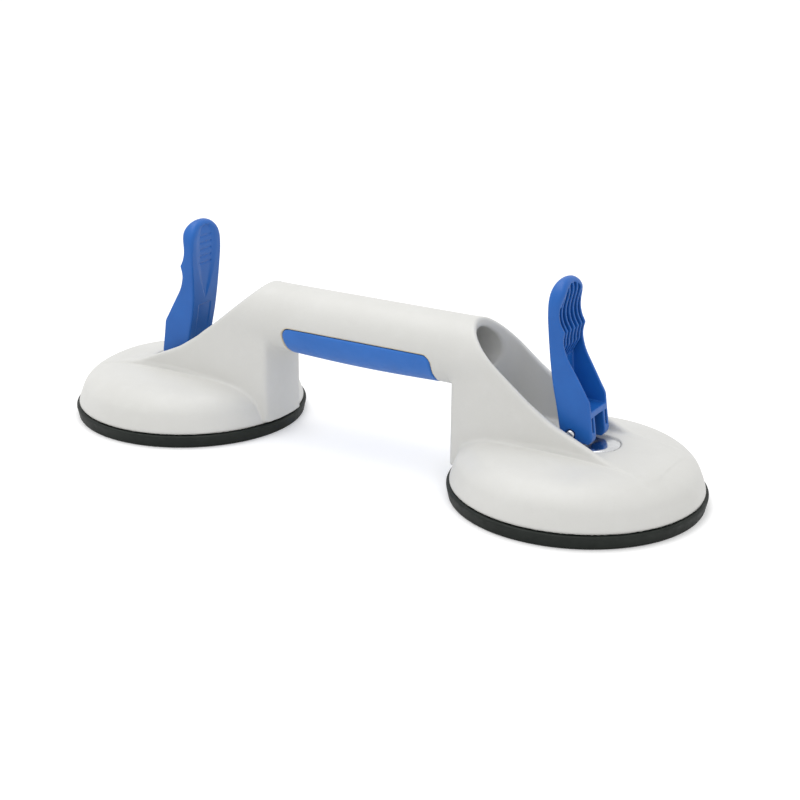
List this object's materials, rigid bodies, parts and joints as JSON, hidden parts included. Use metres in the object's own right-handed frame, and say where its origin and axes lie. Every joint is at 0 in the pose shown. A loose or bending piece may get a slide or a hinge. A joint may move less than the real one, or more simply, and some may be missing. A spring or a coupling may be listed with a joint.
{
  "type": "suction grab bar",
  "caption": "Portable grab bar: a round handle with a soft grip joins round suction heads, each locked to a smooth wall by a fold-down cam lever.",
  "frame": {"origin": "on the surface the pads stand on, midway between the two suction heads", "axes": "+X along the bar towards the right head, +Y across the bar, +Z away from the mounting surface towards the handle"},
  "size_m": [0.3428, 0.12, 0.1036],
  "materials": {
    "shell_plastic": "satin warm light grey moulded plastic",
    "grip_soft": "matte blue soft-touch elastomer",
    "lever_plastic": "satin blue moulded plastic",
    "pad_rubber": "matte black-green rubber",
    "polished_steel": "polished stainless steel",
    "zinc_steel": "zinc plated steel"
  },
  "bodies": {
    "body": {"body_shell": "shell_plastic", "grip_pad": "grip_soft", "left_suction_pad": "pad_rubber", "right_suction_pad": "pad_rubber", "left_wear_plate": "polished_steel", "right_wear_plate": "polished_steel"},
    "left_stud": {"left_stud": "zinc_steel", "left_pad_plate": "zinc_steel"},
    "right_stud": {"right_stud": "zinc_steel", "right_pad_plate": "zinc_steel"},
    "left_lever": {"left_lever": "lever_plastic", "left_pivot_pin": "polished_steel"},
    "right_lever": {"right_lever": "lever_plastic", "right_pivot_pin": "polished_steel"}
  },
  "joints": [
    {"name": "left_stud_lift", "type": "slide", "parent": "body", "child": "left_stud", "axis": [0, 0, 1], "range_m": [0, 0.00655], "deforming": ["left_suction_pad"]},
    {"name": "left_lever_turn", "type": "hinge", "parent": "left_stud", "child": "left_lever", "pos_m": [-0.11135, 0, 0.0332], "axis": [0, -1, 0], "range_deg": [0, 97]},
    {"name": "right_stud_lift", "type": "slide", "parent": "body", "child": "right_stud", "axis": [0, 0, 1], "range_m": [0, 0.00655], "deforming": ["right_suction_pad"]},
    {"name": "right_lever_turn", "type": "hinge", "parent": "right_stud", "child": "right_lever", "pos_m": [0.11135, 0, 0.0332], "axis": [0, 1, 0], "range_deg": [0, 97]}
  ],
  "couplings": [
    {"joint": "left_stud_lift", "follows": "left_lever_turn", "m_per_rad": 0.0038394},
    {"joint": "right_stud_lift", "follows": "right_lever_turn", "m_per_rad": 0.0038394}
  ]
}
